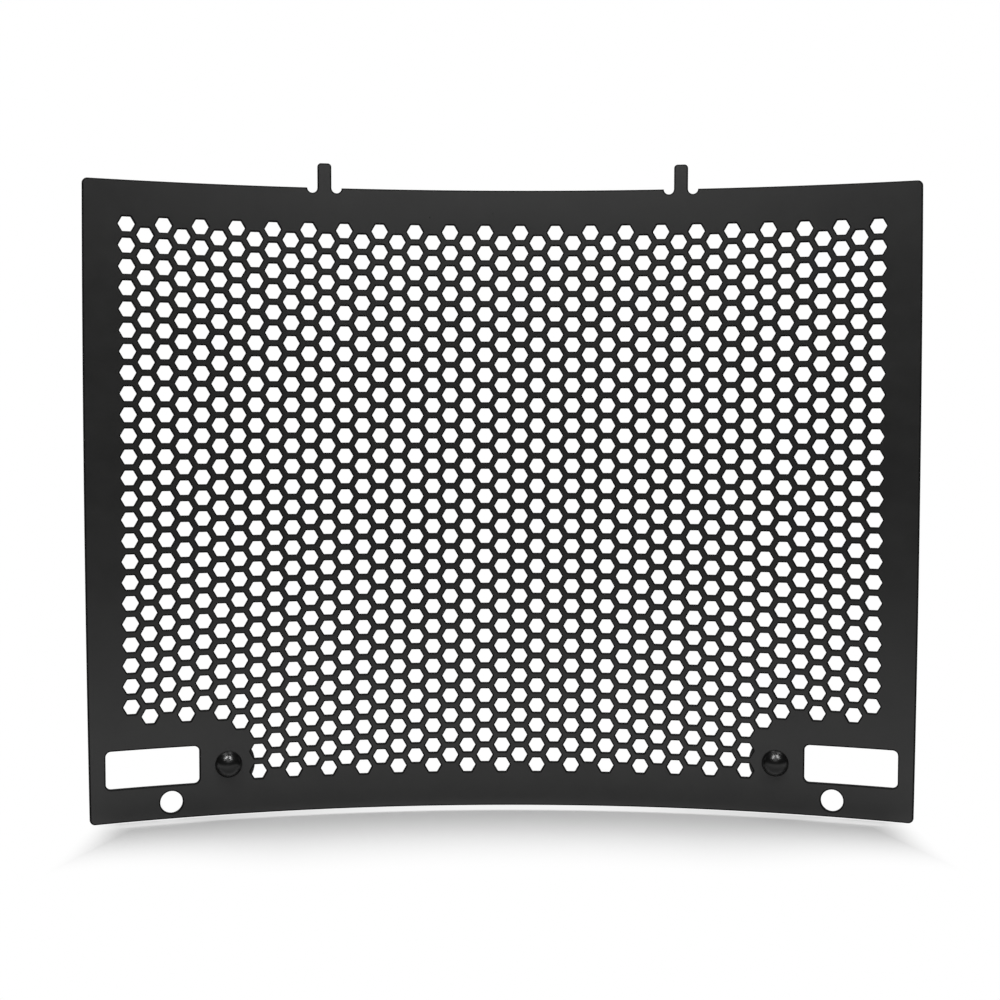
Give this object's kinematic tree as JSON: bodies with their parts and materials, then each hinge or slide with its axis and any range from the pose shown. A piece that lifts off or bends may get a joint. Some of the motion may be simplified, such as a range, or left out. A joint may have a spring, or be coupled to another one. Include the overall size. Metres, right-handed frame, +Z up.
{
  "type": "motorcycle radiator guard",
  "caption": "Rolled sheet guard with a hexagonal mesh, upright top tabs, corner slots, bolt holes and pushed-in rubber buffers.",
  "frame": {"origin": "bottom centre of the box: the lower edge at z = 0, midway between the side edges and midway in depth", "axes": "+Z up towards the tabs, +X to the viewer's right along the sheet, -Y towards the viewer on the hollow front side, +Y towards the radiator"},
  "size_m": [0.317, 0.0324, 0.2545],
  "materials": {
    "powder_coat": "satin",
    "buffer_rubber": "satin"
  },
  "bodies": {
    "root": {"guard_panel": "powder_coat", "buffer_left": "buffer_rubber", "buffer_right": "buffer_rubber"}
  },
  "joints": []
}
